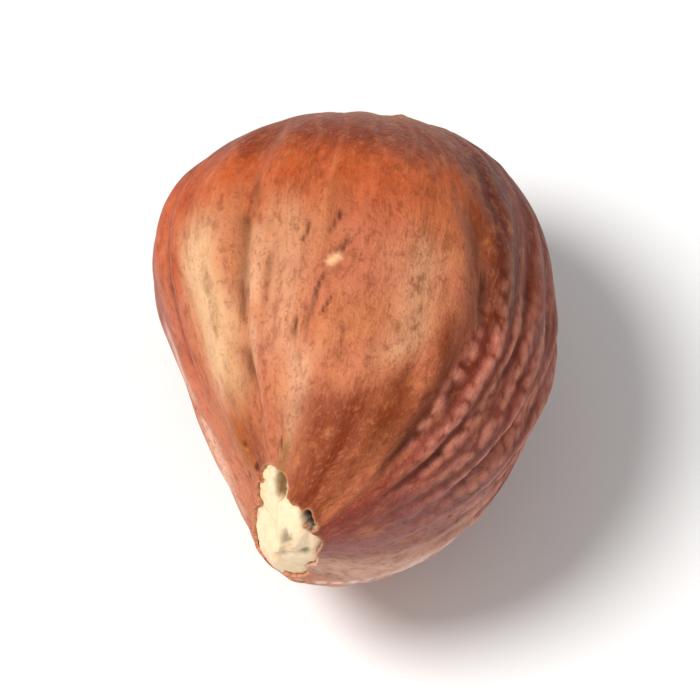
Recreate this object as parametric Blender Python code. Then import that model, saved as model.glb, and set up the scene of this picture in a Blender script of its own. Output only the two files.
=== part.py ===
# A shelled hazelnut kernel in its brown papery skin, lying on its side on a small flat spot.
# Its tip points to -Y and its broad base to +Y. It grew as one piece, so it is one solid.
# A station runs along the kernel from 0 at the tip to 1 at the base. An angle runs round it
# from 0 on its right side (+X), through 90 degrees on top, to 180 on its left side.
# All sizes are in metres, and the angles of features are in degrees.

import math

import bmesh
import bpy
from mathutils import Vector, noise

# Driving dimensions
LENGTH = 0.0169
WIDTH = 0.0127
THICKNESS = 0.0120
FLAT_SPOT_DEPTH = 0.00025
SKIN_STEP = 0.00014

# The outline: a taper of 0.5 rounds an end off like a ball, and 1 runs it out to a cone
TIP_TAPER = 0.775
TIP_TAPER_TO_LEFT = 0.49
TIP_TAPER_TO_TOP = 0.17
TIP_TAPER_TO_FLANKS = 0.14
TIP_BLUNTNESS = 0.01
BASE_TAPER = 0.55
BASE_TAPER_TO_LEFT = 0.135
BASE_TAPER_TO_TOP = 0.13
TIP_SIDEWAYS = -0.00145
TIP_LIFT = 0.00184
LEAN_SHARPNESS = 3.2

# What makes the cross-section uneven: waves round it, their height as a share, and their turn
CROSS_SECTION_LOBES = ((2, 0.012, 35.0), (3, 0.014, 70.0), (5, 0.006, 10.0))

# Broad dents that the shell pressed into it
DENT_SPACING = 0.0042
DENT_DEPTH = 0.00018
DENT_SEED = Vector((3.1, 7.4, 1.9))

# Long folds of the skin, from the base end to the tip end: the station of each end, the angle
# at the start, halfway and at the end, then the half width and the depth
FOLDS = (
    ((0.90, 0.13), (130.0, 126.0, 132.0), 0.00046, 0.00026),
    ((0.70, 0.24), (90.0, 98.0, 104.0), 0.00036, 0.00015),
    ((0.72, 0.06), (62.0, 48.0, 54.0), 0.00046, 0.00020),
    ((0.64, 0.06), (32.0, 33.5, 39.0), 0.00034, 0.00016),
    ((0.66, 0.12), (20.0, 16.0, 18.0), 0.00036, 0.00014),
    ((0.86, 0.30), (158.0, 162.0, 176.0), 0.00040, 0.00018),
    ((0.90, 0.14), (204.0, 199.0, 196.0), 0.00044, 0.00024),
    ((0.80, 0.34), (236.0, 240.0, 246.0), 0.00040, 0.00017),
    ((0.88, 0.12), (302.0, 298.0, 292.0), 0.00048, 0.00024),
    ((0.84, 0.20), (330.0, 333.0, 338.0), 0.00042, 0.00019),
    ((0.62, 0.10), (-6.0, -8.0, -3.0), 0.00040, 0.00015),
)
FOLD_LIP_SHARE = 0.45
FOLD_LIP_AT = 1.9
FOLD_FADE = 0.16

# Fine lengthwise ribs, highest on the right flank
RIB_COUNT = 27
RIB_HEIGHT = 0.00008
RIB_DRIFT = 1.3
RIB_DRIFT_PACE = 2.5
RIB_UNEVENNESS = 0.9
RIB_UNEVENNESS_PACE = 3.5
RIBBED_SIDE = math.radians(8.0)
RIBBED_REACH = math.radians(58.0)
RIB_LEAST_SHARE = 0.34
RIB_TIP_FADE = 0.12
RIB_BASE_END = 0.94
RIB_BASE_FADE = 0.34

# The scar at the broad base, with veins that fan out from it
SCAR_RADIUS = 0.0022
SCAR_DISH = 0.00022
SCAR_RIM_HEIGHT = 0.00006
SCAR_RIM_WIDTH = 0.00045
SCAR_VEINS = 11
SCAR_VEIN_HEIGHT = 0.00004
SCAR_VEIN_REACH = 0.0020
SCAR_VEIN_WANDER = 2.0

# Where the skin has flaked off the tip: station, angle and radius of overlapping rounds
BARE_ROUNDS = (
    ((0.030, 105.0), 0.00088),
    ((0.003, -60.0), 0.00088),
    ((0.070, -145.0), 0.00062),
    ((0.104, 118.0), 0.00044),
    ((0.128, 115.0), 0.00032),
)
BARE_EDGE = 0.00034

# How finely the surface is divided, and the edge angle that stays sharp
MERIDIANS = 144
RINGS = 40
CUT_MERGE_DISTANCE = 1e-7
SHARP_EDGE = math.radians(50.0)

SKIN_COLOUR = (0.36, 0.115, 0.048, 1.0)
SKIN_ROUGHNESS = 0.52
FLESH_COLOUR = (0.86, 0.74, 0.50, 1.0)
FLESH_ROUGHNESS = 0.62


def clear_scene():
    for obj in list(bpy.data.objects):
        bpy.data.objects.remove(obj)


def smoothstep(value):
    share = min(1.0, max(0.0, value))
    return share * share * (3.0 - 2.0 * share)


def bell(distance, width):
    return math.exp(-((distance / width) ** 2))


def wrapped(angle):
    """The same angle, between half a turn back and half a turn forward."""
    return (angle + math.pi) % (2.0 * math.pi) - math.pi


def girth(station, angle):
    """The kernel's half width at this station, as a share of its widest half width."""
    leftward = -math.cos(angle)
    upward = math.sin(angle)
    tip_taper = TIP_TAPER + TIP_TAPER_TO_LEFT * leftward + TIP_TAPER_TO_TOP * upward
    tip_taper += TIP_TAPER_TO_FLANKS * math.cos(2.0 * angle)
    base_taper = BASE_TAPER + BASE_TAPER_TO_LEFT * leftward + BASE_TAPER_TO_TOP * upward

    def swell(at):
        tip = math.sqrt(at) * (at + TIP_BLUNTNESS) ** (tip_taper - 0.5)
        return tip * (1.0 - at) ** base_taper

    widest = tip_taper / (tip_taper + base_taper)
    return swell(station) / swell(widest)


def smooth_point(station, angle):
    """A point of the kernel before its skin is folded, with the tip drawn to one side and up."""
    lobes = 1.0 + sum(
        height * math.cos(count * angle - math.radians(turn))
        for count, height, turn in CROSS_SECTION_LOBES
    )
    share = girth(station, angle) * lobes
    lean = (1.0 - station) ** LEAN_SHARPNESS
    return Vector((
        TIP_SIDEWAYS * lean + WIDTH / 2.0 * share * math.cos(angle),
        LENGTH * (station - 0.5),
        TIP_LIFT * lean + THICKNESS / 2.0 * share * math.sin(angle),
    ))


def dents(point):
    return DENT_DEPTH * noise.noise(point / DENT_SPACING + DENT_SEED)


def fold_angle(along, start, halfway, end):
    """The fold's angle on the smooth curve that passes through its three given angles."""
    bow = 4.0 * (halfway - (start + end) / 2.0) * along * (1.0 - along)
    return math.radians(start + (end - start) * along + bow)


def fold(station, angle, radius, shape):
    """One long trough between two low lips, which fades out at both ends."""
    (first, last), angles, half_width, depth = shape
    along = (station - first) / (last - first)
    if not 0.0 < along < 1.0:
        return 0.0
    across = wrapped(angle - fold_angle(along, *angles)) * radius / half_width
    ends = smoothstep(along / FOLD_FADE) * smoothstep((1.0 - along) / FOLD_FADE)
    lips = bell(across - FOLD_LIP_AT, 1.0) + bell(across + FOLD_LIP_AT, 1.0)
    return depth * ends * (FOLD_LIP_SHARE * lips - bell(across, 1.0))


def ribs(station, angle):
    """Lengthwise ribs of uneven height that wander a little as they run from base to tip."""
    round_it = Vector((math.cos(angle), math.sin(angle), 0.0))
    along = Vector((0.0, 0.0, station))
    drift = RIB_DRIFT * noise.noise(round_it + RIB_DRIFT_PACE * along)
    uneven = 1.0 + RIB_UNEVENNESS * noise.noise(RIB_UNEVENNESS_PACE * (round_it + along))
    height = RIB_LEAST_SHARE + bell(wrapped(angle - RIBBED_SIDE), RIBBED_REACH)
    ends = smoothstep(station / RIB_TIP_FADE)
    ends *= smoothstep((RIB_BASE_END - station) / RIB_BASE_FADE)
    return RIB_HEIGHT * height * uneven * ends * math.sin(RIB_COUNT * angle + drift * math.pi)


def base_scar(point, station, angle):
    """A shallow dish with a raised rim, and veins that fan out from it over the base."""
    if station < 0.5:
        return 0.0
    off_axis = math.hypot(point.x, point.z)
    dish = -SCAR_DISH * smoothstep(1.0 - off_axis / SCAR_RADIUS)
    rim = SCAR_RIM_HEIGHT * bell(off_axis - SCAR_RADIUS, SCAR_RIM_WIDTH)
    beyond = max(0.0, off_axis - SCAR_RADIUS)
    wander = SCAR_VEIN_WANDER * noise.noise(point / SCAR_RADIUS)
    veins = SCAR_VEIN_HEIGHT * math.cos(SCAR_VEINS * angle + wander) * bell(beyond, SCAR_VEIN_REACH)
    return dish + rim + veins * smoothstep(2.0 * off_axis / SCAR_RADIUS - 1.0)


def bare_depth_inside(point):
    """How far this point lies inside the bare patch: negative where the skin is whole."""
    return max(
        radius - (point - smooth_point(station, math.radians(angle))).length
        for (station, angle), radius in BARE_ROUNDS
    )


def relief(point, station, angle):
    """How far the real surface stands out of the smooth one."""
    radius = girth(station, angle) * WIDTH / 2.0
    height = dents(point) + ribs(station, angle) + base_scar(point, station, angle)
    height += sum(fold(station, angle, radius, shape) for shape in FOLDS)
    return height - SKIN_STEP * smoothstep(bare_depth_inside(point) / BARE_EDGE + 0.5)


def lay_smooth_body(bm):
    """A ball whose poles become the tip and the base. Returns each vertex's station and angle."""
    bmesh.ops.create_uvsphere(bm, u_segments=MERIDIANS, v_segments=RINGS, radius=1.0)
    places = {}
    for vert in bm.verts:
        station = (1.0 + vert.co.z) / 2.0
        angle = math.atan2(vert.co.y, vert.co.x)
        vert.co = smooth_point(station, angle)
        places[vert] = (station, angle)
    # The ball's own pole axis is Z and the kernel's is Y, which mirrors its faces.
    bmesh.ops.reverse_faces(bm, faces=bm.faces)
    bm.normal_update()
    return places


def raise_relief(bm, places):
    heights = {vert: relief(vert.co, *places[vert]) for vert in bm.verts}
    bare = {vert for vert in bm.verts if bare_depth_inside(vert.co) > 0.0}
    for vert, height in heights.items():
        vert.co += vert.normal * height
    for face in bm.faces:
        face.material_index = int(all(vert in bare for vert in face.verts))


def set_down(bm):
    """Cuts the flat spot under the kernel and puts the middle of its base over the origin."""
    ground = min(vert.co.z for vert in bm.verts) + FLAT_SPOT_DEPTH
    cut = bmesh.ops.bisect_plane(
        bm,
        geom=bm.verts[:] + bm.edges[:] + bm.faces[:],
        dist=CUT_MERGE_DISTANCE,
        plane_co=(0.0, 0.0, ground),
        plane_no=(0.0, 0.0, -1.0),
        clear_outer=True,
    )
    rim = [item for item in cut["geom_cut"] if isinstance(item, bmesh.types.BMEdge)]
    bmesh.ops.edgeloop_fill(bm, edges=rim)
    xs = [vert.co.x for vert in bm.verts]
    ys = [vert.co.y for vert in bm.verts]
    middle = Vector(((min(xs) + max(xs)) / 2.0, (min(ys) + max(ys)) / 2.0, ground))
    bmesh.ops.translate(bm, verts=bm.verts, vec=-middle)


def plain_material(name, colour, roughness):
    material = bpy.data.materials.new(name)
    material.use_nodes = True
    shader = material.node_tree.nodes["Principled BSDF"]
    shader.inputs["Base Color"].default_value = colour
    shader.inputs["Roughness"].default_value = roughness
    shader.inputs["Metallic"].default_value = 0.0
    return material


def make_kernel():
    bm = bmesh.new()
    places = lay_smooth_body(bm)
    raise_relief(bm, places)
    set_down(bm)
    bmesh.ops.triangulate(bm, faces=bm.faces)
    bmesh.ops.recalc_face_normals(bm, faces=bm.faces)
    mesh = bpy.data.meshes.new("hazelnut_kernel")
    bm.to_mesh(mesh)
    bm.free()
    mesh.shade_smooth()
    mesh.set_sharp_from_angle(angle=SHARP_EDGE)
    mesh.materials.append(plain_material("brown_skin", SKIN_COLOUR, SKIN_ROUGHNESS))
    mesh.materials.append(plain_material("cream_flesh", FLESH_COLOUR, FLESH_ROUGHNESS))
    kernel = bpy.data.objects.new("hazelnut_kernel", mesh)
    bpy.context.scene.collection.objects.link(kernel)
    return kernel


clear_scene()
make_kernel()
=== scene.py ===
# %% [markdown]
# # A shelled hazelnut kernel
#
# This lesson dresses one shelled hazelnut kernel. The real thing is a drop of pale oily flesh about
# 16 mm long, inside a brown papery skin a tenth of a millimetre thick. The skin has dried into
# lengthwise ribs and wrinkles, and at the tip it has flaked off and shows the flesh.
#
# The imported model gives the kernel's true form, with its ribs and long folds. Here that form becomes
# two finer meshes, the flesh and the skin that lies on it, and each gets a finish of its own.

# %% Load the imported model
import math

import bmesh
import bpy
import numpy as np
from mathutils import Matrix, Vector, noise
from mathutils.bvhtree import BVHTree


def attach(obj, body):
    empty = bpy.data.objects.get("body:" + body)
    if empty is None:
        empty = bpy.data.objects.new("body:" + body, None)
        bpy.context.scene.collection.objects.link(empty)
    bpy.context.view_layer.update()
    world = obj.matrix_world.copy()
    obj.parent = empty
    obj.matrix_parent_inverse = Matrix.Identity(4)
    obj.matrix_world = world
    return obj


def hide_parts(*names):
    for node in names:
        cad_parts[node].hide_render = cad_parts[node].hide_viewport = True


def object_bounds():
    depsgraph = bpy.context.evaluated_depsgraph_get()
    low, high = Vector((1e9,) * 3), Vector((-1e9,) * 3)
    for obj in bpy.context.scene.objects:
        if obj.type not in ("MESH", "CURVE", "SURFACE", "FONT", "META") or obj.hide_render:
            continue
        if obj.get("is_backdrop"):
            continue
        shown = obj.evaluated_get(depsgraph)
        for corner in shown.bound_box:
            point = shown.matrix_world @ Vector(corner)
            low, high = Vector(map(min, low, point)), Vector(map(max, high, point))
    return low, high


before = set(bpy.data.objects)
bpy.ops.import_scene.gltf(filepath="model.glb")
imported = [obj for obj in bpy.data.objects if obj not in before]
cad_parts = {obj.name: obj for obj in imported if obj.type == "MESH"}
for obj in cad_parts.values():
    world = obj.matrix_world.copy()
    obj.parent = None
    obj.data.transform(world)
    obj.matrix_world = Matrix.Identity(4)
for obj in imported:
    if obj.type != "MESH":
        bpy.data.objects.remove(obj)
cad_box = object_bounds()
kernel_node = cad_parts["hazelnut_kernel"]
print("the packed kernel measures", [round(side * 1000, 2) for side in cad_box[1] - cad_box[0]], "mm")

# %% [markdown]
# ## The camera
#
# The kernel is seen from above its tip, a little turned, through a long lens. A long lens keeps a small
# thing's outline true, where a short one close by would swell what is nearest.

# %% Place the camera
VIEW_ELEVATION = math.radians(59.0)
VIEW_ROLL = math.radians(6.5)
VIEW_DISTANCE = 0.25
VIEW_WIDTH = 0.0219


def toward(azimuth, elevation):
    """The direction from the kernel to a place round it. Azimuth 0 is in front of the tip."""
    level = math.cos(elevation)
    return Vector((math.sin(azimuth) * level, -math.cos(azimuth) * level, math.sin(elevation)))


kernel_middle = (cad_box[0] + cad_box[1]) / 2
camera_data = bpy.data.cameras.new("camera")
camera_data.lens = camera_data.sensor_width * VIEW_DISTANCE / VIEW_WIDTH
camera_data.clip_start = 0.01
camera_data.clip_end = 5.0
camera = bpy.data.objects.new("camera", camera_data)
bpy.context.scene.collection.objects.link(camera)
view_direction = toward(0.0, VIEW_ELEVATION)
camera.location = kernel_middle + VIEW_DISTANCE * view_direction
camera.rotation_euler = (-view_direction).to_track_quat("-Z", "Y").to_euler()
camera.rotation_euler.rotate_axis("Z", VIEW_ROLL)
bpy.context.scene.camera = camera
print("the lens is", round(camera_data.lens), "mm long")

# %% [markdown]
# ## The floor and the light
#
# The floor is plain and pale. The light is soft and comes from three places: a broad lamp high on the
# left, which models the form, a weak one low on the right, and a pale room all round, which keeps the
# shadows open. A single small lamp would show the relief better, but its shadow would be harsh.

# %% Place the lamps and the floor
FLOOR_SIDE = 1.2
FLOOR_PAINT = (0.87, 0.86, 0.85, 1.0)
FLOOR_ROUGHNESS = 0.7
ROOM_PAINT = (1.0, 1.0, 1.0, 1.0)
ROOM_STRENGTH = 0.42


def lamp(name, azimuth, elevation, distance, side, watts):
    """A round lamp that shines at the kernel. Its azimuth and elevation are in degrees."""
    data = bpy.data.lights.new(name, "AREA")
    data.shape = "DISK"
    data.size = side
    data.energy = watts
    light = bpy.data.objects.new(name, data)
    direction = toward(math.radians(azimuth), math.radians(elevation))
    light.location = kernel_middle + distance * direction
    light.rotation_euler = (-direction).to_track_quat("-Z", "Y").to_euler()
    bpy.context.scene.collection.objects.link(light)


lamp("key_lamp", azimuth=-72.0, elevation=56.0, distance=0.30, side=0.12, watts=0.96)
lamp("fill_lamp", azimuth=35.0, elevation=24.0, distance=0.40, side=0.30, watts=0.22)

room = bpy.data.worlds.new("room")
room.use_nodes = True
room_glow = room.node_tree.nodes["Background"]
room_glow.inputs["Color"].default_value = ROOM_PAINT
room_glow.inputs["Strength"].default_value = ROOM_STRENGTH
bpy.context.scene.world = room
bpy.context.scene.view_settings.view_transform = "Standard"

floor_mesh = bpy.data.meshes.new("floor")
far = FLOOR_SIDE / 2
floor_corners = [(-far, -far, 0), (far, -far, 0), (far, far, 0), (-far, far, 0)]
floor_mesh.from_pydata(floor_corners, [], [(0, 1, 2, 3)])
floor = bpy.data.objects.new("floor", floor_mesh)
bpy.context.scene.collection.objects.link(floor)
floor_paint = bpy.data.materials.new("floor_paint")
floor_paint.use_nodes = True
floor_shader = floor_paint.node_tree.nodes["Principled BSDF"]
floor_shader.inputs["Base Color"].default_value = FLOOR_PAINT
floor_shader.inputs["Roughness"].default_value = FLOOR_ROUGHNESS
floor_mesh.materials.append(floor_paint)
floor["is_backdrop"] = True
print("the floor is", FLOOR_SIDE, "m wide and lies at z = 0")

# %% [markdown]
# ## A map of the kernel
#
# Everything on a kernel runs from base to tip: its ribs, its folds and the fibres in its skin. So each
# point of the surface gets a station, 0 at the tip and 1 at the base, and an angle round the kernel,
# 0 on its right, 90 on top and 180 on its left. A smooth guide shape turns a station and an angle into a
# place. Lines of one angle on it curve in to the tip just as the real fibres do.

# %% Lay the guide shape
LENGTH = 0.0169
WIDTH = 0.0127
THICKNESS = 0.0120
TIP_TAPER = 0.775
TIP_TAPER_TO_LEFT = 0.49
TIP_TAPER_TO_TOP = 0.17
TIP_TAPER_TO_FLANKS = 0.14
TIP_BLUNTNESS = 0.01
BASE_TAPER = 0.55
BASE_TAPER_TO_LEFT = 0.135
BASE_TAPER_TO_TOP = 0.13
TIP_SIDEWAYS = -0.00145
TIP_LIFT = 0.00184
LEAN_SHARPNESS = 3.2
GUIDE_MIDDLE = np.array([-0.00001, 0.00009, 0.00568])


def guide(station, angle):
    """The smooth guide's point at each station and angle, as an array with x, y and z last."""
    leftward = -np.cos(angle)
    upward = np.sin(angle)
    tip_taper = TIP_TAPER + TIP_TAPER_TO_LEFT * leftward + TIP_TAPER_TO_TOP * upward
    tip_taper = tip_taper + TIP_TAPER_TO_FLANKS * np.cos(2 * angle)
    base_taper = BASE_TAPER + BASE_TAPER_TO_LEFT * leftward + BASE_TAPER_TO_TOP * upward

    def swell(at):
        return np.sqrt(at) * (at + TIP_BLUNTNESS) ** (tip_taper - 0.5) * (1 - at) ** base_taper

    girth = swell(station) / swell(tip_taper / (tip_taper + base_taper))
    lean = (1 - station) ** LEAN_SHARPNESS
    across = TIP_SIDEWAYS * lean + WIDTH / 2 * girth * np.cos(angle)
    along = LENGTH * (station - 0.5) + 0 * angle
    up = TIP_LIFT * lean + THICKNESS / 2 * girth * np.sin(angle)
    return np.stack([across, along, up], axis=-1) + GUIDE_MIDDLE


def guide_point(station, degrees):
    return guide(np.array(station), np.array(math.radians(degrees)))


print("the tip of the guide is at", (guide_point(0.0, 0.0) * 1000).round(2), "mm")

# %% [markdown]
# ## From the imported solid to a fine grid
#
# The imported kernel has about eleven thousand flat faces, which is too coarse for wrinkles. A fine grid
# is laid on it by casting a ray from the kernel's middle through each guide point to the packed
# surface. The rays keep the true form, and a little averaging along the grid takes the flat faces
# out of it. A subdivision modifier would be simpler, but it can't give rows that follow the fibres.

# %% Write the grid's helpers
ROUNDS_ALONG = 18
ROUNDS_AROUND = 5


def step(value):
    """A smooth step from 0 to 1 as the value goes from 0 to 1."""
    share = np.clip(value, 0.0, 1.0)
    return share * share * (3.0 - 2.0 * share)


def bell(value):
    return np.exp(-value * value)


def row_neighbours(grid):
    """The rows before and after each row. Past the tip or the base, the grid goes on across it."""
    half_turn = grid.shape[1] // 2
    before = np.concatenate([np.roll(grid[1:2], half_turn, axis=1), grid[:-1]])
    after = np.concatenate([grid[1:], np.roll(grid[-2:-1], half_turn, axis=1)])
    return before, after


def soften(grid, rounds_along, rounds_around):
    """Averages a grid with its neighbours, and makes its first and last rows one point each."""
    for _ in range(rounds_along):
        before, after = row_neighbours(grid)
        grid = grid / 2 + (before + after) / 4
    for _ in range(rounds_around):
        grid = grid / 2 + (np.roll(grid, 1, axis=1) + np.roll(grid, -1, axis=1)) / 4
    grid[0] = grid[0].mean(axis=0)
    grid[-1] = grid[-1].mean(axis=0)
    return grid


print("a grid is softened in", ROUNDS_ALONG, "rounds along it and", ROUNDS_AROUND, "around it")

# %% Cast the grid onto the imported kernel
packed_places = [vertex.co for vertex in kernel_node.data.vertices]
packed_faces = [tuple(face.vertices) for face in kernel_node.data.polygons]
packed_tree = BVHTree.FromPolygons(packed_places, packed_faces)
print("the packed kernel has", len(packed_faces), "faces")


def cast_grid(station, angle):
    """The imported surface's point beyond each point of the guide, seen from the kernel's middle."""
    middle = Vector(kernel_middle)
    targets = guide(station, angle)
    places = np.empty_like(targets)
    for spot in np.ndindex(station.shape):
        places[spot] = packed_tree.ray_cast(middle, Vector(targets[spot]) - middle)[0]
    return places


def outward(places):
    """The grid's unit normals, pointing out of the kernel."""
    before, after = row_neighbours(places)
    round_it = np.roll(places, -1, axis=1) - np.roll(places, 1, axis=1)
    normals = np.cross(round_it, after - before)
    normals[0] = normals[1].mean(axis=0)
    normals[-1] = normals[-2].mean(axis=0)
    normals /= np.linalg.norm(normals, axis=-1, keepdims=True)
    from_middle = places - np.array(kernel_middle)
    return normals * np.sign(np.sum(normals * from_middle, axis=-1, keepdims=True))


# %% [markdown]
# ## Where the skin has flaked off
#
# Handling knocks the brittle skin off the kernel's tip. What is bare there is a rounded patch, with a
# narrow tongue that runs up from it, and a slit beside it where the skin has cracked. Overlapping
# balls make that shape, each with a station, an angle and a radius, and noise at three sizes tears
# its edge. The depth inside them is used to cut the skin, to curl its edge and to colour it. The
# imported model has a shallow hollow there, which is filled first so that the skin can lie over it.

# %% Mark the bare patch
SKIN_STEP = 0.00014
HOLLOW_EDGE = 0.00034
HOLLOW = (
    ((0.030, 105.0), 0.00088),
    ((0.003, -60.0), 0.00088),
    ((0.070, -145.0), 0.00062),
    ((0.104, 118.0), 0.00044),
    ((0.128, 115.0), 0.00032),
)
BARE_PATCH = (
    ((0.0860, 151.0), 0.00060),
    ((0.0405, 102.0), 0.00060),
    ((0.0058, 56.0), 0.00060),
    ((0.0026, -128.0), 0.00060),
    ((0.0010, -25.0), 0.00060),
    ((0.1046, 122.5), 0.00056),
    ((0.0269, 82.5), 0.00052),
    ((0.0048, 30.5), 0.00052),
    ((0.0032, -68.5), 0.00052),
    ((0.0791, 110.5), 0.00060),
    ((0.1125, 159.0), 0.00056),
    ((0.0357, -135.5), 0.00060),
    ((0.0598, -119.0), 0.00056),
    ((0.0896, -148.5), 0.00050),
    ((0.0290, -94.5), 0.00050),
    ((0.0090, -94.5), 0.00056),
    ((0.0598, -139.0), 0.00052),
    ((0.0700, -128.0), 0.00054),
    ((0.0440, -95.0), 0.00050),
    ((0.0200, -80.0), 0.00046),
)
SLIT = (
    ((0.0357, 69.6), 0.00015),
    ((0.0290, 64.5), 0.00016),
    ((0.0229, 57.5), 0.00013),
    ((0.0270, 70.0), 0.00016),
)
TEAR = ((0.00060, 0.000070), (0.00021, 0.000028), (0.00009, 0.000012))


def depth_inside(places, balls, centre):
    """How far each place is inside the nearest of the balls: negative outside them all."""
    depths = [radius - np.linalg.norm(places - centre(*spot), axis=-1) for spot, radius in balls]
    return np.max(depths, axis=0)


def noise_at(places, size, shift=0.0):
    """Soft noise from -1 to 1 at every place of an array, with bumps of the given size."""
    flat = (np.reshape(places, (-1, 3)) / size + shift).tolist()
    return np.array([noise.noise(place) for place in flat]).reshape(places.shape[:-1])


def torn_depth(places):
    """How far each place is inside the torn edge of the patch or of the slit."""
    depth = depth_inside(places, BARE_PATCH + SLIT, surface_point)
    for size, height in TEAR:
        depth = depth + height * noise_at(places, size)
    return depth


print("the patch is made of", len(BARE_PATCH), "balls and the slit of", len(SLIT))

# %% Lay the fine grid
SKIN_ROWS = 248
SKIN_COLUMNS = 388


def whole_surface(rows, columns):
    """The kernel with its skin still whole: places, normals, stations and angles."""
    stations = (1 - np.cos(np.pi * np.arange(rows + 1) / rows)) / 2
    angles = 2 * np.pi * np.arange(columns) / columns
    station, angle = np.meshgrid(stations, angles, indexing="ij")
    places = soften(cast_grid(station, angle), ROUNDS_ALONG * rows // SKIN_ROWS, ROUNDS_AROUND)
    normals = outward(places)
    hollow = SKIN_STEP * step(depth_inside(places, HOLLOW, guide_point) / HOLLOW_EDGE + 0.5)
    return places + normals * hollow[..., None], normals, station, angle


skin_places, skin_normals, skin_station, skin_angle = whole_surface(SKIN_ROWS, SKIN_COLUMNS)


def surface_point(station, degrees):
    """The grid's place nearest to a station and an angle."""
    row = np.abs(skin_station[:, 0] - station).argmin()
    return skin_places[row, round(degrees / 360.0 * SKIN_COLUMNS) % SKIN_COLUMNS]


print("the skin's grid has", skin_places.shape[0] * skin_places.shape[1], "points")

# %% [markdown]
# ## Noise that runs lengthwise
#
# Most of what is seen on the skin is drawn out along the kernel. Plain noise is the same in every
# direction, so it is read on a drum instead: the angle becomes a place round the drum and the
# station its height, pressed together so that one bump of noise becomes a long streak. The drum narrows
# toward the tip, or the streaks would shrink to hairs there. The angle also wanders a little, because
# no fibre is quite straight.

# %% Roll the drum
DRUM_RADIUS = 0.0063
WANDER = ((0.0030, 0.00050), (0.0009, 0.00011))


def drum(places, station, angle, stretch):
    """Places on a drum that narrows toward the tip, where noise turns into lengthwise streaks."""
    from_axis = (places - places.mean(axis=1, keepdims=True))[..., ::2]
    row_radius = np.linalg.norm(from_axis, axis=-1).mean(axis=1, keepdims=True)
    radius = 0.2 * DRUM_RADIUS + 0.8 * row_radius
    height = station * LENGTH / stretch
    return np.stack([radius * np.cos(angle), radius * np.sin(angle), height], axis=-1)


def degrees_from(angle, centre):
    return (np.degrees(angle) - centre + 180.0) % 360.0 - 180.0


even_drum = drum(skin_places, skin_station, skin_angle, 1.6)
wander = sum(height * noise_at(even_drum, size) for size, height in WANDER) / DRUM_RADIUS
skin_radius = np.linalg.norm((skin_places - skin_places.mean(axis=1, keepdims=True))[..., ::2], axis=-1)
print("fibres wander by up to", round(float(np.abs(wander).max() * DRUM_RADIUS * 1000), 2), "mm")


def streaky(size, stretch, shift=0.0):
    """Noise from -1 to 1 whose bumps are drawn out lengthwise."""
    return noise_at(drum(skin_places, skin_station, skin_angle + wander, stretch), size, shift)


# %% [markdown]
# ## The skin's relief
#
# Seen close, the skin isn't smooth. Raised veins run from base to tip, with lengthwise wrinkles a few
# tenths of a millimetre apart between them. The right flank is pleated into ribs less than a
# millimetre apart, which break into rows of beads. All over, the skin is crumpled like paper dried on
# something uneven. These are real heights, so they move the grid's points, and only what is finer than
# the grid is left to the finish.

# %% Raise the veins, the wrinkles and the crumple
FLANK_DEGREES = 50.0
FLANK_FADE = 9.0
VEIN_SHARPNESS = 5.0


def ridged(values, sharpness):
    """Sharp-topped ridges from 0 to 1 along the lines where the noise is zero."""
    return np.maximum(0.0, 1.0 - sharpness * np.abs(values))


off_flank = np.abs(degrees_from(skin_angle, 0.0) + 3.0 * streaky(0.0012, 3.0, 21.0))
ribbed_flank = step(0.5 + (FLANK_DEGREES - off_flank) / FLANK_FADE)
away_from_ends = step(skin_station / 0.05) * step((0.97 - skin_station) / 0.10)
vein_patches = step(0.6 + 1.6 * streaky(0.0022, 2.5, 8.0))
veins = ridged(streaky(0.0013, 9.0, 3.0), VEIN_SHARPNESS) * vein_patches
wrinkles = streaky(0.00062, 4.5, 5.0) + 0.5 * streaky(0.00031, 3.5, 13.0)
crumple = 0.5 * noise_at(even_drum, 0.00150, 9.0) + noise_at(even_drum, 0.00055, 2.0)
crumple = crumple + 0.55 * np.abs(noise_at(even_drum, 0.00030, 4.0))
print("veins cover", round(float((veins > 0.4).mean()) * 100, 1), "% of the skin")

# %% Pleat the flank and break its ribs into beads
PLEAT_DEGREES = 8.0
PLEAT_CREST = 43.0
BEAD_SIZE = 0.00031
BEADS_END = 0.72
BEADS_FADE = 0.42
bead_drum = drum(skin_places, skin_station, skin_angle + wander, 1.35)
pleat_drift = np.degrees(wander) + 2.0 * streaky(0.0016, 3.0, 31.0)
off_crest = degrees_from(skin_angle, PLEAT_CREST) + pleat_drift
pleats = 0.5 + 0.5 * np.cos(np.radians(off_crest) * 360.0 / PLEAT_DEGREES)


def beads_at(places, size):
    """Round-topped beads from 0 to 1, one in each cell of a scattered pattern."""
    flat = (np.reshape(places, (-1, 3)) / size).tolist()
    nearest = np.array([noise.voronoi(place)[0][0] for place in flat]).reshape(places.shape[:-1])
    return np.maximum(0.0, 1.0 - 1.7 * nearest * nearest)


flank_reach = ribbed_flank * step((skin_station - 0.07) / 0.13) * away_from_ends
before_end = BEADS_END - skin_station + 0.14 * streaky(0.0011, 2.5, 27.0)
beads = beads_at(bead_drum, BEAD_SIZE) * (0.15 + 0.85 * pleats) * step(before_end / BEADS_FADE)
print("a bead is about", BEAD_SIZE * 1000, "mm across")

# %% [markdown]
# ## Creases, a blister and the scar
#
# Along the bottom of the longest folds the skin has creased. A crease starts at one station and angle,
# bows through a halfway angle and ends at a third, and breaks up on its way. Near the middle of the
# broad face one fleck has lifted into a blister, with short dark dashes in rows round it, which are
# narrow creases too. The rough scar at the base is where the kernel hung.

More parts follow.
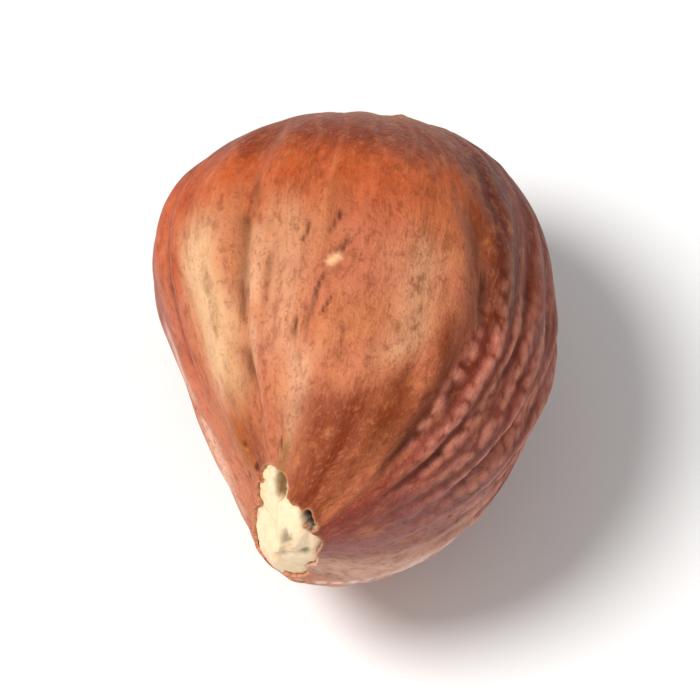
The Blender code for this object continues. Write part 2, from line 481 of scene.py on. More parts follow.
# %% Press in the creases
CREASES = (
    ((0.72, 0.17), (126.0, 126.0, 131.0), 0.00026, 0.000022),
    ((0.60, 0.26), (88.0, 98.5, 104.0), 0.00010, 0.000040),
    ((0.70, 0.07), (60.0, 47.0, 54.0), 0.00015, 0.000090),
    ((0.62, 0.07), (32.0, 33.5, 39.0), 0.00013, 0.000070),
    ((0.64, 0.12), (19.0, 16.0, 18.0), 0.00014, 0.000060),
    ((0.62, 0.10), (-7.0, -8.0, -3.0), 0.00015, 0.000060),
    ((0.60, 0.34), (116.0, 115.0, 117.0), 0.00016, 0.000018),
    ((0.82, 0.34), (159.0, 162.0, 174.0), 0.00018, 0.000050),
    ((0.90, 0.14), (204.0, 199.0, 196.0), 0.00020, 0.000070),
    ((0.80, 0.34), (236.0, 240.0, 246.0), 0.00018, 0.000050),
    ((0.88, 0.12), (302.0, 298.0, 292.0), 0.00020, 0.000070),
    ((0.84, 0.20), (330.0, 333.0, 338.0), 0.00017, 0.000060),
)
STRIPE_FADE = 0.22


def stripe(stations, degrees, half_width, ragged=0.6):
    """1 along a line that bows through three angles, 0 beside it, with ragged and fading ends."""
    first, last = stations
    start, halfway, end = degrees
    along = np.clip((skin_station - first) / (last - first), 0.0, 1.0)
    bow = 4.0 * (halfway - (start + end) / 2.0) * along * (1.0 - along)
    line = start + (end - start) * along + bow
    waver = 0.7 * half_width * streaky(0.0008, 2.5, start)
    across = np.radians(degrees_from(skin_angle, line)) * skin_radius + waver
    ends = step(along / STRIPE_FADE) * step((1.0 - along) / STRIPE_FADE)
    broken = step(1.0 - ragged / 2.0 + 2.5 * ragged * streaky(0.0007, 2.0, end))
    return bell(across / half_width) * ends * broken


crease_shapes = [(stripe(*shape[:3]), shape[3]) for shape in CREASES]
crease_mask = np.max([shape for shape, _ in crease_shapes], axis=0)
crease_depth = np.max([shape * depth for shape, depth in crease_shapes], axis=0)
print("creases cover", round(float((crease_mask > 0.5).mean()) * 100, 1), "% of the skin")

# %% Raise the blister, prick the dark marks and roughen the scar
BLISTER_SPOT = (0.482, 96.0)
BLISTER_RADIUS = 0.00021
BLISTER_HEIGHT = 0.00006
BLISTER_ASLANT = ((0.53, 0.95, 0.0), (0.53, -0.95, 0.0), (0.0, 0.0, 1.0))
DARK_MARKS = (
    ((0.1568, 141.5), 0.00013),
    ((0.1700, 165.0), 0.00015),
    ((0.2033, 145.5), 0.00010),
)
DARK_DASHES = (
    ((0.61, 0.50), (87.0, 89.5, 93.5)),
    ((0.53, 0.43), (92.0, 95.5, 98.5)),
    ((0.46, 0.35), (97.0, 101.0, 105.0)),
    ((0.38, 0.26), (104.0, 105.0, 103.0)),
    ((0.43, 0.36), (92.0, 95.0, 98.0)),
    ((0.57, 0.51), (104.5, 105.0, 106.5)),
    ((0.60, 0.53), (96.0, 97.0, 99.0)),
    ((0.17, 0.13), (108.0, 108.5, 108.0)),
)
DASH_WIDTH = 0.000050
DASH_RAGGED = 0.8
MARK_DEPTH = 0.000035
MARK_EDGE = 0.00014
MARK_TEAR = 0.00007
SCAR_RADIUS = 0.0022

blister_offset = (skin_places - surface_point(*BLISTER_SPOT)) @ np.array(BLISTER_ASLANT)
blister_ragged = 0.45 * noise_at(skin_places, 0.00013)
blister_away = np.linalg.norm(blister_offset, axis=-1) / BLISTER_RADIUS + blister_ragged
blister = step(1.5 - blister_away)
mark_ragged = MARK_TEAR * noise_at(skin_places, 0.00018, 6.0)
mark_inside = depth_inside(skin_places, DARK_MARKS, surface_point) + mark_ragged
dark_mark = step(0.35 + mark_inside / MARK_EDGE)
for dash in DARK_DASHES:
    dark_mark = np.maximum(dark_mark, stripe(*dash, DASH_WIDTH, DASH_RAGGED))
from_scar = np.linalg.norm((skin_places - GUIDE_MIDDLE)[..., ::2], axis=-1) / SCAR_RADIUS
scar = step(1.6 - from_scar + 0.5 * noise_at(skin_places, 0.0008)) * (skin_station > 0.5)
scar_grit = noise_at(skin_places, 0.00042) + 0.6 * noise_at(skin_places, 0.00021, 5.0)
print("the scar is", SCAR_RADIUS * 2000, "mm across")

# %% Add the heights up
WRINKLE_HEIGHT = 0.000022
VEIN_HEIGHT = 0.000024
PLEAT_HEIGHT = 0.000040
BEAD_HEIGHT = 0.000045
CRUMPLE_HEIGHT = 0.000011
SCAR_HEIGHT = 0.000048

wrinkle_share = (0.35 + 0.65 * ribbed_flank) * away_from_ends * (1.0 - scar)
vein_heights = VEIN_HEIGHT * veins * away_from_ends * (1.0 - scar)
relief = WRINKLE_HEIGHT * wrinkles * wrinkle_share + vein_heights
relief = relief + (PLEAT_HEIGHT * pleats + BEAD_HEIGHT * beads) * flank_reach
relief = relief + CRUMPLE_HEIGHT * crumple * (1.0 + 0.4 * ribbed_flank)
relief = relief - crease_depth + BLISTER_HEIGHT * blister + SCAR_HEIGHT * scar_grit * scar
relief = relief - MARK_DEPTH * dark_mark * (1.0 - blister)
print("the relief runs from", (relief.min() * 1000).round(3), "to", (relief.max() * 1000).round(3), "mm")

# %% [markdown]
# ## Skin that ends in a torn edge
#
# At the tear the skin has a thickness, and it has come away a little. The grid is cut along the line
# where the torn depth is zero: wherever that line crosses an edge of the grid, the nearer end of the
# edge slides onto it, and the faces inside are left out. A Boolean would also cut it, but it would
# leave thousands of slivers along the line. The open edge is then drawn down into the kernel.

# %% Cut the skin
LIFT_BAND = 0.00026
LIFT = 0.000035
SLIT_BAND = 0.00030
SLIT_LIFT = 0.00007
FLAT_SPOT_BLEND = 0.0005


def grid_faces(rows, columns):
    """Triangle fans at the tip and the base, and two triangles for every square between them."""
    base = 1 + (rows - 1) * columns

    def ring(row, column):
        return 1 + (row - 1) * columns + column % columns

    faces = [(0, ring(1, c), ring(1, c + 1)) for c in range(columns)]
    for row in range(1, rows - 1):
        for c in range(columns):
            faces.append((ring(row, c), ring(row + 1, c), ring(row + 1, c + 1)))
            faces.append((ring(row, c), ring(row + 1, c + 1), ring(row, c + 1)))
    faces += [(base, ring(rows - 1, c + 1), ring(rows - 1, c)) for c in range(columns)]
    return faces


def as_list(grid):
    """A grid's values in the order of the mesh's vertices: the tip, every ring, and the base."""
    return np.concatenate([grid[:1, 0], grid[1:-1].reshape((-1,) + grid.shape[2:]), grid[-1:, 0]])


def slide_to_line(points, depth, faces):
    """Moves the nearer end of every crossed edge onto the line where the depth is zero."""
    corners = np.array(faces)
    sides = np.concatenate([corners[:, [0, 1]], corners[:, [1, 2]], corners[:, [2, 0]]])
    sides = np.unique(np.sort(sides, axis=1), axis=0)
    start = points.copy()
    for one, other in sides[depth[sides[:, 0]] * depth[sides[:, 1]] < 0]:
        if depth[one] * depth[other] >= 0:
            continue
        near, far_end = (one, other) if abs(depth[one]) < abs(depth[other]) else (other, one)
        share = depth[near] / (depth[near] - depth[far_end])
        points[near] = start[near] + share * (start[far_end] - start[near])
        depth[near] = 0.0
    return points, depth


skin_depth = torn_depth(skin_places)
near_edge = step(1.0 + skin_depth / LIFT_BAND)
uneven_lift = 0.5 + 1.8 * np.maximum(0.0, noise_at(skin_places, 0.0006, 4.0))
near_slit = step(1.0 + depth_inside(skin_places, SLIT, surface_point) / SLIT_BAND)
lift = LIFT * near_edge ** 2 * uneven_lift + SLIT_LIFT * near_slit
above_flat_spot = step(skin_places[..., 2] / FLAT_SPOT_BLEND)
skin_height = (relief * (1.0 - 0.5 * near_edge) + lift) * above_flat_spot
skin_surface = skin_places + skin_normals * skin_height[..., None]
skin_surface[..., 2] = np.maximum(skin_surface[..., 2], 0.0)
skin_faces = grid_faces(SKIN_ROWS, SKIN_COLUMNS)
cut_points, cut_depth = slide_to_line(as_list(skin_surface), as_list(skin_depth), skin_faces)
kept_faces = [face for face in skin_faces if max(cut_depth[list(face)]) <= 0.0]
print("the tear takes out", len(skin_faces) - len(kept_faces), "triangles of", len(skin_faces))

# %% [markdown]
# ## Colours that follow the form
#
# A kernel isn't one brown. This one is orange at its shoulder, golden on its left band, rosy tan on its
# broad face, russet above the tip and plum on its ribbed flank. Light is painted in as well: a pale
# painted sheen along its left edge and below the tip, a painted reflection on its lower right and along
# its lower edge, painted shade on its top end, its upper flank and the long groove left of its face, and
# a painted satin highlight on its tan patches. Each of these is a soft mask on the map, worked out once
# for every point and kept in the mesh as a named attribute, which the finish reads. The crests of the
# wrinkles and the flank's beads get a painted highlight, and painted shade darkens the creases and
# hollows.

# %% Find the bumps and the spots of painted reflection by the tip
BUMP_HEIGHT = 0.000020
# Spots along the lower edge by the tip where a pale painted reflection is laid on.
RIM_REFLECTION_SPOTS = (
    ((0.0110, -72.0), 0.00016),
    ((0.0176, -60.0), 0.00018),
    ((0.0229, -53.0), 0.00018),
    ((0.0311, -47.5), 0.00020),
    ((0.0457, -44.5), 0.00020),
    ((0.0600, -40.0), 0.00020),
    ((0.0750, -36.0), 0.00020),
)
RIM_REFLECTION_EDGE = 0.00022
even_relief = soften(relief[..., None], 10, 7)[..., 0]
bumpy = np.clip((relief - even_relief) / BUMP_HEIGHT, -1.0, 1.0)
rim_reflection_spots = step(0.5 + depth_inside(skin_places, RIM_REFLECTION_SPOTS, surface_point) / RIM_REFLECTION_EDGE)
print("bumps take up", round(float((bumpy > 0.5).mean()) * 100, 1), "% of the skin")

# %% Work out the colour masks
TORN_WIDTH = 0.00006


def zone(degrees, half_width, first, last, fade=0.10):
    """A soft patch of the map round an angle, between two stations, with a ragged outline."""
    drift = streaky(0.0010, 2.5, degrees)
    across = bell((degrees_from(skin_angle, degrees) + 6.0 * drift) / half_width)
    tipward = step((skin_station + 0.03 * drift - first) / fade + 0.5)
    return across * tipward * step((last - skin_station + 0.03 * drift) / fade + 0.5)


def either(*shapes):
    """The strongest of several masks at every point."""
    return np.max(shapes, axis=0)


shoulder_drift = 0.05 * streaky(0.0010, 2.0, 41.0)
masks = {
    "shoulder": step((skin_station + shoulder_drift - 0.47) / 0.32) * (1.0 - 0.5 * scar),
    # painted shade darkening the kernel's top end
    "crown_shade": step((skin_station - 0.71) / 0.10) * (1.0 - 0.5 * scar),
    "golden": either(
        zone(140.5, 9.5, 0.27, 0.60, 0.14),
        0.8 * zone(262.0, 24.0, 0.30, 0.80),
    ),
    # painted shade in the long groove left of the broad face
    "groove": stripe((0.74, 0.15), (126.0, 126.0, 131.0), 0.00048, 0.3),
    "pale": either(
        stripe((0.62, 0.24), (120.5, 121.5, 125.0), 0.00030),
        zone(103.0, 6.0, 0.14, 0.32),
    ),
    # paler tan skin with a painted satin highlight on it
    "tan": either(
        zone(71.0, 8.0, 0.28, 0.54),
        0.85 * zone(112.0, 8.5, 0.31, 0.62, 0.14),
    ),
    "burnt": either(
        stripe((0.84, 0.26), (145.0, 158.5, 168.0), 0.00070, 0.3),
        0.7 * zone(226.0, 12.0, 0.30, 0.85),
    ),
    "ochre": zone(148.0, 12.0, 0.15, 0.275),
    "russet": either(
        zone(78.0, 24.0, -0.02, 0.235, 0.07),
        0.8 * zone(134.0, 8.0, 0.10, 0.22),
    ),
    "brown_patch": either(
        zone(56.0, 5.5, 0.24, 0.42),
        zone(66.0, 7.0, 0.15, 0.28),
    ),
    # painted shade on the upper part of the ribbed flank
    "upper_flank_shade": zone(45.0, 9.0, 0.42, 0.86),
    "edge_brown": stripe((0.74, 0.05), (59.0, 46.5, 56.0), 0.00042, 0.3),
    "plum": ribbed_flank,
    # painted reflection: a greyish mauve sheen on the lower right near the tip
    "mauve": zone(4.0, 27.0, -0.10, 0.25, 0.16),
    "dusk": zone(184.0, 14.0, 0.42, 0.90, 0.14),
    # painted sheen: pale stripes along the left edge and a pale patch below the tip
    "pale_sheen": either(
        zone(-32.0, 24.0, -0.10, 0.24),
        stripe((0.55, 0.33), (183.5, 184.0, 185.0), 0.00030, 0.1),
        stripe((0.40, 0.12), (202.0, 207.0, 222.0), 0.00032, 0.1),
    ),
    # painted reflection: a pale line along the lower edge
    "rim": either(
        stripe((0.30, 0.02), (-31.0, -28.0, -46.0), 0.00024, 0.2),
        rim_reflection_spots,
    ),
    "olive": zone(107.0, 4.0, 0.095, 0.150, 0.03),
    "bead": beads * flank_reach,
    # crests of the relief, which get a painted highlight
    "high": np.maximum(bumpy, 0.0),
    # hollows of the relief, which get painted shade
    "low": np.maximum(-bumpy, 0.0),
    # creases, which get painted shade
    "crease": crease_mask * (1.0 - 0.6 * near_edge),
    "dark_mark": dark_mark * (1.0 - blister),
    "scar": scar,
    "blister": blister,
    "torn": step(1.0 + skin_depth / TORN_WIDTH),
}
for name, values in masks.items():
    print(name, "averages", float(values.mean().round(3)))

# %% Make the skin's mesh
RIM_DEPTH = 0.00011


def mesh_piece(name, points, faces, marks, way):
    """An object whose masks and drum places, in millimetres, are kept as attributes."""
    mesh = bpy.data.meshes.new(name)
    mesh.from_pydata(points.tolist(), [], faces)
    for mark, values in marks.items():
        attribute = mesh.attributes.new(mark, "FLOAT", "POINT")
        attribute.data.foreach_set("value", np.ascontiguousarray(as_list(values), dtype=np.float32))
    attribute = mesh.attributes.new("way", "FLOAT_VECTOR", "POINT")
    attribute.data.foreach_set("vector", (as_list(way) * 1000).astype(np.float32).ravel())
    piece = bpy.data.objects.new(name, mesh)
    bpy.context.scene.collection.objects.link(piece)
    return piece


def clean(piece, rim=0.0):
    """Drops unused points, draws an open edge down into the kernel and turns the faces out."""
    bm = bmesh.new()
    bm.from_mesh(piece.data)
    bmesh.ops.delete(bm, geom=[vertex for vertex in bm.verts if not vertex.link_faces], context="VERTS")
    bmesh.ops.dissolve_degenerate(bm, edges=bm.edges, dist=1e-7)
    if rim:
        bm.normal_update()
        border = [edge for edge in bm.edges if edge.is_boundary]
        above = {tuple(vertex.co): vertex.normal.copy() for edge in border for vertex in edge.verts}
        drawn = bmesh.ops.extrude_edge_only(bm, edges=border)["geom"]
        for vertex in (item for item in drawn if isinstance(item, bmesh.types.BMVert)):
            vertex.co -= rim * above[tuple(vertex.co)]
    bmesh.ops.recalc_face_normals(bm, faces=bm.faces)
    bm.to_mesh(piece.data)
    bm.free()
    piece.data.shade_smooth()


skin_way = drum(skin_places, skin_station, skin_angle + wander, 1.0)
kernel_skin = mesh_piece("kernel_skin", cut_points, kept_faces, masks, skin_way)
clean(kernel_skin, rim=RIM_DEPTH)
kernel_skin.data.set_sharp_from_angle(angle=math.radians(60.0))
print("the skin has", len(kernel_skin.data.polygons), "faces")

# %% [markdown]
# ## The flesh under it
#
# The flesh is pale and waxy. Only the patch at the tip shows, but the whole of it is there, just under
# the skin as on the real thing. It has two small grey pits, a deeper one beside the tongue of the patch
# that is painted with olive shadow, a hollow under the slit that is painted with dark shadow, and a low
# ridge along the tongue.

# %% Press in the pits and raise the ridge
FLESH_ROWS = 170
FLESH_COLUMNS = 260
GREY_PITS = (
    ((0.0058, 80.0), 0.00034, 0.00013),
    ((0.0026, 2.0), 0.00018, 0.00008),
)
OLIVE_PITS = (
    ((0.0800, 108.5), 0.00031, 0.00016),
    ((0.0930, 109.0), 0.00031, 0.00018),
    ((0.1060, 109.5), 0.00025, 0.00014),
)
SLIT_PITS = (
    ((0.0357, 69.6), 0.00027, 0.00022),
    ((0.0290, 64.0), 0.00027, 0.00022),
    ((0.0229, 57.5), 0.00023, 0.00020),
)
TONGUE = (
    ((0.1330, 124.0), 0.00015),
    ((0.1330, 134.0), 0.00017),
    ((0.1290, 146.0), 0.00018),
    ((0.1200, 157.0), 0.00018),
    ((0.1050, 163.0), 0.00017),
)
TONGUE_EDGE = 0.00012
flesh_places, flesh_normals, flesh_station, flesh_angle = whole_surface(FLESH_ROWS, FLESH_COLUMNS)


def pits(shapes):
    """The share, from 0 to 1, and the depth of ragged pits, each a spot, a radius and a depth."""
    shares = []
    for spot, radius, _ in shapes:
        away = np.linalg.norm(flesh_places - surface_point(*spot), axis=-1) / radius
        away = away + 0.35 * noise_at(flesh_places, 0.00016, spot[1])
        shares.append(step((1.3 - away) / 0.9))
    depths = [share * depth for share, (_, _, depth) in zip(shares, shapes)]
    return np.max(shares, axis=0), np.max(depths, axis=0)


grey_pit, grey_depth = pits(GREY_PITS)
olive_pit, olive_depth = pits(OLIVE_PITS)
slit_pit, slit_depth = pits(SLIT_PITS)
tongue = step(depth_inside(flesh_places, TONGUE, surface_point) / TONGUE_EDGE + 0.5)
deepest = float(np.max([grey_depth, olive_depth, slit_depth]))
print("the deepest pit is", round(deepest * 1000, 2), "mm deep")

# %% Shape the flesh
FLESH_DEPTH = 0.00011
BARE_RISE = 0.00005
BARE_RISE_BAND = 0.00020
TONGUE_HEIGHT = 0.00009
CHEWED_HEIGHT = 0.000014
NEAR_SKIN_BAND = 0.00010
flesh_bare = torn_depth(flesh_places)
chewed = noise_at(flesh_places, 0.00050, 7.0) + 0.6 * noise_at(flesh_places, 0.00020, 1.0)
bare_rise = BARE_RISE * step(flesh_bare / BARE_RISE_BAND)
flesh_height = bare_rise - FLESH_DEPTH + TONGUE_HEIGHT * tongue
flesh_height = flesh_height - grey_depth - olive_depth - slit_depth + CHEWED_HEIGHT * chewed
flesh_surface = flesh_places + flesh_normals * flesh_height[..., None]
flesh_marks = {
    "grey_pit": grey_pit,
    "olive_pit": olive_pit,
    "slit_pit": slit_pit,
    "tongue": tongue,
    "near_skin": step(1.0 - flesh_bare / NEAR_SKIN_BAND),
}
flesh_way = drum(flesh_places, flesh_station, flesh_angle, 1.0)
flesh_faces = grid_faces(FLESH_ROWS, FLESH_COLUMNS)
kernel_flesh = mesh_piece("kernel_flesh", as_list(flesh_surface), flesh_faces, flesh_marks, flesh_way)
clean(kernel_flesh)
print("the flesh has", len(kernel_flesh.data.polygons), "faces")

# %% [markdown]
# ## A small language for finishes
#
# A finish is a tree of nodes. Written node by node it is long and hard to read, so one class wraps a
# socket and lets it be added, multiplied or taken from a number, and another adds any node from its
# type, its settings and its inputs.

# %% Wrap sockets in arithmetic
class Value:
    """A socket that adds a Math node wherever it is used in arithmetic."""

    def __init__(self, finish, socket):
        self.finish = finish
        self.socket = socket

    def maths(self, operation, first, second):
        return self.finish.add("ShaderNodeMath", {"operation": operation}, {0: first, 1: second})

    def __add__(self, other):
        return self.maths("ADD", self, other)

    def __radd__(self, other):
        return self.maths("ADD", other, self)

    def __rsub__(self, other):
        return self.maths("SUBTRACT", other, self)

    def __mul__(self, other):
        return self.maths("MULTIPLY", self, other)

    def __rmul__(self, other):
        return self.maths("MULTIPLY", other, self)


# %% Write the finish class
class Finish:
    """A material that is built up one node at a time."""

    def __init__(self, name):
        self.material = bpy.data.materials.new(name)
        self.material.use_nodes = True
        self.tree = self.material.node_tree
        self.shader = self.tree.nodes["Principled BSDF"]

    def add(self, kind, settings=None, inputs=None, output=0):
        """Adds a node, applies its settings, fills or links its inputs and returns one output."""
        node = self.tree.nodes.new(kind)
        for name, setting in (settings or {}).items():
            setattr(node, name, setting)
        for name, given in (inputs or {}).items():
            self.fill(node.inputs[name], given)
        return Value(self, node.outputs[output])

    def fill(self, socket, given):
        if isinstance(given, Value):
            self.tree.links.new(given.socket, socket)
        else:
            socket.default_value = given

    def mark(self, name, output="Fac"):
        """Reads one of the mesh's attributes."""
        settings = {"attribute_type": "GEOMETRY", "attribute_name": name}
        return self.add("ShaderNodeAttribute", settings, output=output)

    def millimetres(self):
        """The place of each point, in millimetres."""
        place = self.add("ShaderNodeTexCoord", output="Object")
        return self.scaled(place, (1000.0, 1000.0, 1000.0))

    def scaled(self, vector, by):
        """A vector with each of its parts multiplied by a number of its own."""
        return self.add("ShaderNodeVectorMath", {"operation": "MULTIPLY"}, {0: vector, 1: by})

    def grain(self, vector, scale, detail=2.0, roughness=0.55, distortion=0.0):
        """Noise with about this many bumps in a millimetre."""
        inputs = {"Vector": vector, "Scale": scale, "Detail": detail}
        inputs.update({"Roughness": roughness, "Distortion": distortion})
        return self.add("ShaderNodeTexNoise", {}, inputs)

    def between(self, value, low, high):
        """0 at low, 1 at high and a smooth change between them."""
        inputs = {"Value": value, "From Min": low, "From Max": high}
        return self.add("ShaderNodeMapRange", {"interpolation_type": "SMOOTHSTEP"}, inputs)

    def blend(self, share, first, second, how="MIX"):
        """One colour turned into another by a share from 0 to 1."""
        settings = {"data_type": "RGBA", "blend_type": how, "clamp_factor": True}
        return self.add("ShaderNodeMix", settings, {0: share, 6: first, 7: second}, output=2)

    def bump(self, height, metres, under=None):
        """Fine relief of a height in metres, over the relief of another bump if one is given."""
        inputs = {"Height": height, "Distance": metres}
        if under:
            inputs["Normal"] = under
        return self.add("ShaderNodeBump", {}, inputs)

    def wear(self, piece):
        piece.data.materials.clear()
        piece.data.materials.append(self.material)


def paint(red, green, blue):
    """A colour given as on a screen, from 0 to 255, turned into the linear values of a shader."""
    def linear(part):
        part = part / 255.0
        return part / 12.92 if part <= 0.04045 else ((part + 0.055) / 1.055) ** 2.4

    return (linear(red), linear(green), linear(blue), 1.0)


# %% [markdown]
# ## The skin's colours
#
# The skin's colours are mixed from the broad to the fine. First come the masks of the map, each with
# its own paint. Then blotches and mottling break them up, because a skin that has been rubbed against
# others is worn in patches. Fibres run along it, and freckles of a tenth of a millimetre lie over all.

# %% Mix the broad colours
skin = Finish("brown_skin")
way = skin.mark("way", "Vector")
place = skin.millimetres()
cloud = skin.grain(skin.scaled(way, (1.0, 1.0, 0.6)), 0.45, 2.0, 0.5)
mottle = skin.grain(skin.scaled(way, (1.0, 1.0, 0.50)), 1.7, 5.0, 0.66, 0.15)
fine_mottle = skin.grain(skin.scaled(way, (1.0, 1.0, 0.6)), 4.2, 3.0, 0.62, 0.1)
streaks = skin.grain(skin.scaled(way, (1.0, 1.0, 0.16)), 2.4, 3.0, 0.6, 0.15)
threads = skin.grain(skin.scaled(way, (1.0, 1.0, 0.14)), 7.0, 2.0, 0.6, 0.1)

ROSY_TAN = paint(188, 106, 76)
WARM_TAN = paint(186, 108, 70)
ZONE_PAINTS = (
    ("shoulder", 0.92, paint(186, 76, 18)),
    # painted shade on the kernel's top end
    ("crown_shade", 0.82, paint(118, 40, 10)),
    # paler tan skin with a painted satin highlight
    ("tan", 0.80, paint(206, 148, 110)),
    ("golden", 0.95, paint(214, 170, 126)),
    # painted shade in the long groove
    ("groove", 0.62, paint(158, 98, 58)),
    ("pale", 0.75, paint(218, 164, 126)),
    ("burnt", 0.92, paint(172, 66, 12)),
    ("ochre", 0.88, paint(152, 76, 16)),
    ("russet", 0.94, paint(114, 38, 12)),
    ("brown_patch", 0.80, paint(116, 46, 12)),
    ("dusk", 0.85, paint(136, 58, 54)),
    ("plum", 0.94, paint(126, 46, 34)),
    # painted shade on the upper flank
    ("upper_flank_shade", 0.88, paint(84, 24, 10)),
    ("edge_brown", 0.75, paint(92, 32, 12)),
    # painted reflection on the lower right near the tip
    ("mauve", 0.80, paint(150, 101, 99)),
    # painted sheen along the left edge and below the tip
    ("pale_sheen", 0.82, paint(220, 176, 152)),
    # painted reflection along the lower edge
    ("rim", 0.85, paint(240, 214, 204)),
    ("olive", 0.70, paint(128, 92, 44)),
)
skin_colour = skin.blend(skin.between(cloud, 0.35, 0.65), ROSY_TAN, WARM_TAN)
for name, share, colour in ZONE_PAINTS:
    skin_colour = skin.blend(skin.mark(name) * share, skin_colour, colour)
print("the skin has", len(ZONE_PAINTS), "painted zones")

# %% Add the mottling, the fibres, the painted highlights and the painted shade
DARK_MOTTLE = paint(112, 44, 18)
PALE_MOTTLE = paint(206, 128, 78)
DARK_FIBRE = paint(116, 52, 28)
# PALE_FIBRE_AND_HIGHLIGHT is the colour of the pale fibres and also a painted highlight on the crests.
PALE_FIBRE_AND_HIGHLIGHT = paint(212, 150, 108)
# DARK_SPECK_AND_SHADE is the colour of the dark specks and marks, and also painted shade in the creases
# and hollows.
DARK_SPECK_AND_SHADE = paint(62, 26, 16)
SCAR_TAN = paint(168, 120, 82)
BLISTER_STRAW = paint(238, 196, 146)
TORN_TAN = paint(206, 160, 124)
# a painted highlight on the tops of the flank's beads
BEAD_HIGHLIGHT = paint(224, 140, 122)

skin_colour = skin.blend(skin.between(mottle, 0.50, 0.72) * 0.50, skin_colour, DARK_MOTTLE)
skin_colour = skin.blend(skin.between(mottle, 0.46, 0.28) * 0.40, skin_colour, PALE_MOTTLE)
stubble_share = 0.44 - 0.26 * skin.mark("golden")
stubble = skin.between(fine_mottle, 0.51, 0.70) * stubble_share
skin_colour = skin.blend(stubble, skin_colour, DARK_MOTTLE)
skin_colour = skin.blend(skin.between(fine_mottle, 0.45, 0.28) * 0.24, skin_colour, PALE_MOTTLE)
skin_colour = skin.blend(skin.between(streaks, 0.54, 0.75) * 0.35, skin_colour, DARK_FIBRE)
skin_colour = skin.blend(skin.between(threads, 0.55, 0.78) * 0.18, skin_colour, PALE_FIBRE_AND_HIGHLIGHT)
# painted highlight on the flank's beads
skin_colour = skin.blend(skin.mark("bead") * (0.30 + 0.90 * fine_mottle), skin_colour, BEAD_HIGHLIGHT)
# painted highlight on the crests of the relief
skin_colour = skin.blend(skin.mark("high") * (0.06 + 0.24 * fine_mottle), skin_colour, PALE_FIBRE_AND_HIGHLIGHT)
# painted shade in the hollows of the relief
skin_colour = skin.blend(skin.mark("low") * 0.42, skin_colour, DARK_SPECK_AND_SHADE)
# painted shade in the creases
skin_colour = skin.blend(skin.mark("crease") * (0.12 + 0.46 * mottle), skin_colour, DARK_SPECK_AND_SHADE)
print("with the mottling the skin's finish has", len(skin.tree.nodes), "nodes")

# %% Add the specks, the scar and the torn edge
speck_noise = skin.grain(skin.scaled(way, (1.0, 1.0, 0.5)), 3.0, 2.0, 0.7)
freckles = skin.grain(place, 9.0, 1.0, 0.5)
scar_blotches = skin.between(skin.grain(place, 1.5, 4.0, 0.65), 0.36, 0.60)
skin_colour = skin.blend(skin.between(speck_noise, 0.70, 0.80) * 0.30, skin_colour, DARK_SPECK_AND_SHADE)
skin_colour = skin.blend(skin.mark("dark_mark") * 0.65, skin_colour, DARK_SPECK_AND_SHADE)
skin_colour = skin.blend(skin.between(freckles, 0.58, 0.75) * 0.28, skin_colour, DARK_FIBRE)
skin_colour = skin.blend(skin.mark("scar") * (0.25 + 0.75 * scar_blotches), skin_colour, SCAR_TAN)
skin_colour = skin.blend(skin.mark("blister") * (0.30 + 0.6 * fine_mottle), skin_colour, BLISTER_STRAW)
skin_colour = skin.blend(skin.mark("torn") * 0.50, skin_colour, TORN_TAN)
skin.fill(skin.shader.inputs["Base Color"], skin_colour)
print("the specks, the scar and the torn edge bring it to", len(skin.tree.nodes), "nodes")

# %% [markdown]
# ## The skin's satin
#
# Dry skin has a satin face: it shines a little where it is smooth and stretched, less where it is
# scuffed, and its finest fuzz catches light along the outline. Gloss varies with the same noise as
# the colour, so that what looks worn is also duller. Both shines are tinted warm, because a white one
# would turn the browns grey.

# %% Set the gloss and the fine relief
SATIN = {
    "Specular IOR Level": 0.23,
    "Specular Tint": (1.0, 0.66, 0.46, 1.0),
    "Sheen Weight": 0.05,
    "Sheen Roughness": 0.35,
    "Sheen Tint": (1.0, 0.64, 0.50, 1.0),
}
BROAD_BUMP = 0.000085
FINE_BUMP = 0.000045
FRECKLE_BUMP = 0.000018
rough = 0.37 + 0.16 * fine_mottle + 0.13 * freckles
skin.fill(skin.shader.inputs["Roughness"], rough + 0.12 * skin.mark("scar"))
for name, setting in SATIN.items():
    skin.fill(skin.shader.inputs[name], setting)
broad_bump = skin.bump(mottle + 0.6 * streaks, BROAD_BUMP)
fine_bump = skin.bump(fine_mottle + 0.7 * threads, FINE_BUMP, broad_bump)
skin.fill(skin.shader.inputs["Normal"], skin.bump(freckles, FRECKLE_BUMP, fine_bump))
skin.wear(kernel_skin)
print("the skin's finish has", len(skin.tree.nodes), "nodes")

# %% [markdown]
# ## The flesh's finish
#
# Raw kernel flesh is cream with a waxy bloom, and light passes a little way into it, which softens the
# small shadows on it. A few tenths of a millimetre of scattering under the surface give that.

# %% Mix the flesh's colours
flesh = Finish("cream_flesh")
flesh_place = flesh.millimetres()
flesh_clouds = flesh.grain(flesh_place, 1.6, 3.0, 0.55)
flesh_grit = flesh.grain(flesh_place, 7.0, 2.0, 0.6)
CREAM = paint(231, 205, 168)
WARM_CREAM = paint(224, 186, 142)
GREY_CREAM = paint(190, 184, 154)
PIT_GREY = paint(128, 120, 94)
OLIVE_PIT_SHADOW = paint(112, 76, 18)
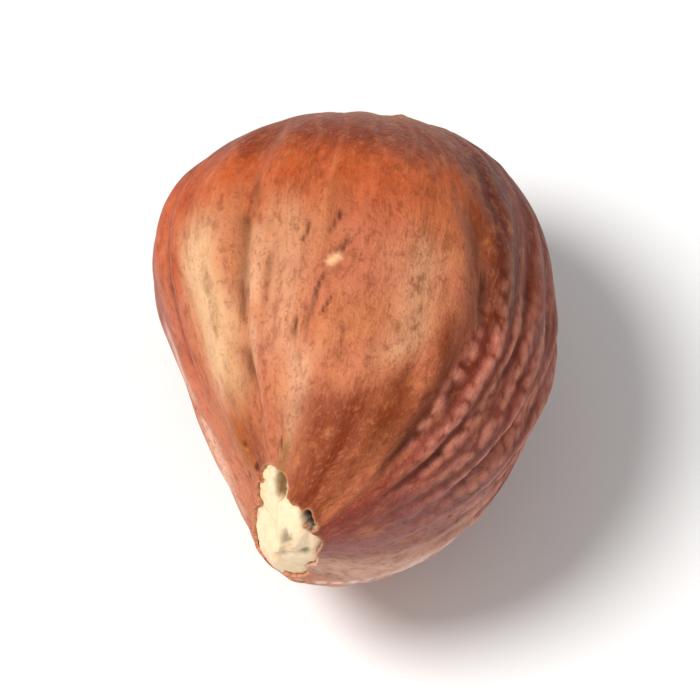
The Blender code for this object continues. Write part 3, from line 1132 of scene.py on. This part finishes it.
# painted shadow under the lifted skin at the slit
SLIT_SHADOW = paint(40, 16, 6)
TONGUE_PEACH = paint(240, 190, 142)
NEAR_SKIN_TAN = paint(226, 184, 140)
flesh_colour = flesh.blend(flesh.between(flesh_clouds, 0.42, 0.70) * 0.6, CREAM, WARM_CREAM)
flesh_colour = flesh.blend(flesh.between(flesh_clouds, 0.46, 0.28) * 0.55, flesh_colour, GREY_CREAM)
flesh_colour = flesh.blend(flesh.mark("tongue") * 0.80, flesh_colour, TONGUE_PEACH)
flesh_colour = flesh.blend(flesh.mark("near_skin") * 0.45, flesh_colour, NEAR_SKIN_TAN)
flesh_colour = flesh.blend(flesh.mark("grey_pit") * 0.85, flesh_colour, PIT_GREY)
# painted shadow, tinted olive, in the pit beside the tongue
flesh_colour = flesh.blend(flesh.mark("olive_pit"), flesh_colour, OLIVE_PIT_SHADOW)
# painted shadow in the hollow under the slit
flesh_colour = flesh.blend(flesh.mark("slit_pit"), flesh_colour, SLIT_SHADOW)
flesh.fill(flesh.shader.inputs["Base Color"], flesh_colour)
print("the flesh's colours take", len(flesh.tree.nodes), "nodes")

# %% Give the flesh its wax
WAX = {
    "Subsurface Weight": 0.25,
    "Subsurface Radius": (1.0, 0.7, 0.4),
    "Subsurface Scale": 0.0003,
}
GRIT_BUMP = 0.00004
flesh.fill(flesh.shader.inputs["Roughness"], 0.46 + 0.2 * flesh_grit)
for name, setting in WAX.items():
    flesh.fill(flesh.shader.inputs[name], setting)
flesh_bump = flesh.bump(flesh_clouds + 0.6 * flesh_grit, GRIT_BUMP)
flesh.fill(flesh.shader.inputs["Normal"], flesh_bump)
flesh.wear(kernel_flesh)
print("the flesh's finish has", len(flesh.tree.nodes), "nodes")

# %% [markdown]
# ## Tie the pieces to the model
#
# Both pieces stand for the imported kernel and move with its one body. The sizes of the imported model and
# of the dressed one are kept side by side, because the finish must not change the kernel's size.

# %% Tie and measure
for piece, slot in ((kernel_flesh, "cream_flesh"), (kernel_skin, "brown_skin")):
    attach(piece, "root")
    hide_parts("hazelnut_kernel")

visual_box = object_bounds()
visual_size = [round(side * 1000, 2) for side in visual_box[1] - visual_box[0]]
print("the dressed kernel measures", visual_size, "mm")
